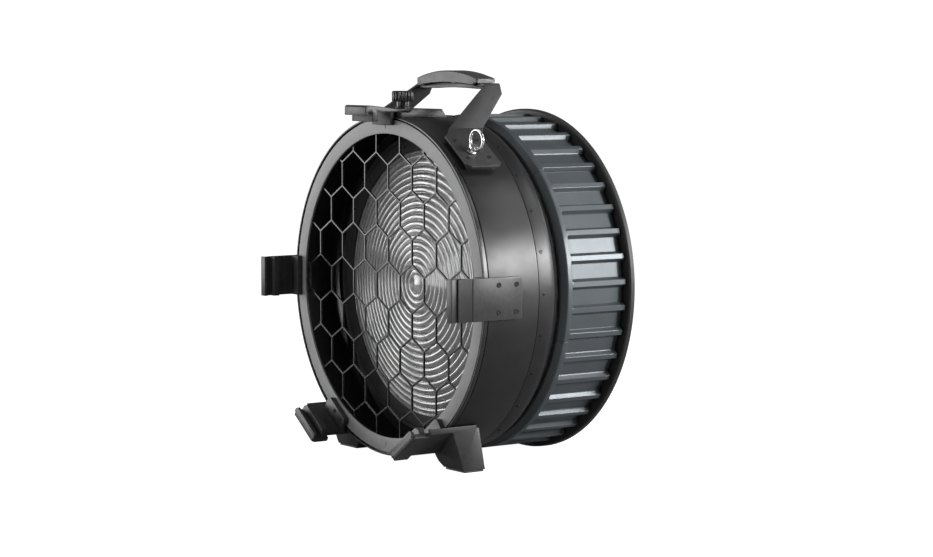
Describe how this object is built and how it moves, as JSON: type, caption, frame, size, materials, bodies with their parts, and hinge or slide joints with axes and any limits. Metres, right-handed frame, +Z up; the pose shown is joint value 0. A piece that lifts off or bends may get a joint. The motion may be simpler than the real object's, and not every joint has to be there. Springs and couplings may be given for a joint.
{
  "type": "fresnel spotlight",
  "caption": "Round spotlight lens head: a stepped glass lens slides in a black drum as the ribbed ring turns, behind a honeycomb guard, with accessory claws, carrying handle and rear bayonet.",
  "frame": {"origin": "centre of the footprint at the height of the foot pads", "axes": "+Z up, the optical axis runs along Y and the light leaves towards -Y, +X is the right side seen from the front"},
  "size_m": [0.463, 0.3006, 0.5151],
  "materials": {
    "black_paint": "satin black powder coat",
    "bezel_grey": "matt grey paint",
    "cast_black": "fine textured black paint on cast and bent metal",
    "inner_black": "matt black anodised",
    "grip_grey": "satin blue grey anodised",
    "steel": "turned steel",
    "chrome": "polished plating",
    "rubber": "matt black rubber",
    "nylon": "natural plain bearing plastic",
    "glass": "clear stepped lens glass",
    "knob_black": "fluted black plastic"
  },
  "bodies": {
    "housing": {"front_rim_ring": "black_paint", "wire_guard": "black_paint", "front_housing": "black_paint", "rear_housing": "black_paint", "rear_flange": "black_paint", "rear_cover": "black_paint", "front_bezel": "bezel_grey", "claw_left": "cast_black", "claw_right": "cast_black", "lower_claw_left": "cast_black", "lower_claw_right": "cast_black", "latch_base": "cast_black", "handle_bracket_left": "cast_black", "handle_bracket_right": "cast_black", "handle_bar": "cast_black", "joint_band": "inner_black", "guide_tube": "inner_black", "bayonet_ring": "steel", "latch_stud": "steel", "foot_pad_left": "rubber", "foot_pad_right": "rubber", "handle_grip": "rubber", "handle_spacer_left": "rubber", "handle_spacer_right": "rubber", "front_thrust_ring": "nylon", "rear_thrust_ring": "nylon"},
    "focus_ring": {"cam_sleeve": "inner_black", "grip_segment_1": "grip_grey", "grip_segment_2": "grip_grey", "grip_segment_3": "grip_grey", "grip_segment_4": "grip_grey", "grip_segment_5": "grip_grey", "grip_segment_6": "grip_grey"},
    "lens_carriage": {"fresnel_lens": "glass", "lens_seal": "rubber", "lens_retaining_ring": "inner_black", "lens_carrier": "inner_black", "cam_follower_1": "steel", "cam_follower_2": "steel", "cam_follower_3": "steel"},
    "lifting_claw": {"top_claw": "cast_black", "latch_washer": "steel"},
    "clamp_knob": {"latch_knob": "knob_black"},
    "eye_swivel": {"safety_eye_stud": "chrome"},
    "eye_ring": {"safety_ring": "chrome"}
  },
  "joints": [
    {"name": "focus_turn", "type": "hinge", "parent": "housing", "child": "focus_ring", "pos_m": [0, 0.0743, 0.2315], "axis": [0, 1, 0], "range_deg": [0, 90]},
    {"name": "lens_travel", "type": "slide", "parent": "housing", "child": "lens_carriage", "axis": [0, 1, 0], "range_m": [0, 0.068]},
    {"name": "top_claw_lift", "type": "slide", "parent": "housing", "child": "lifting_claw", "axis": [0, 0, 1], "range_m": [0, 0.01]},
    {"name": "knob_turn", "type": "hinge", "parent": "lifting_claw", "child": "clamp_knob", "pos_m": [0, -0.0687, 0.4675], "axis": [0, 0, 1], "continuous": true},
    {"name": "safety_eye_swivel", "type": "hinge", "parent": "housing", "child": "eye_swivel", "pos_m": [0.14732, -0.0622, 0.41216], "axis": [0.5878, 0, 0.809], "continuous": true},
    {"name": "safety_ring_swing", "type": "hinge", "parent": "eye_swivel", "child": "eye_ring", "pos_m": [0.15015, -0.0622, 0.41604], "axis": [-0.809, 0, 0.5878], "range_deg": [-80, 80]}
  ],
  "couplings": [
    {"joint": "lens_travel", "follows": "focus_turn", "m_per_rad": 0.04329}
  ]
}
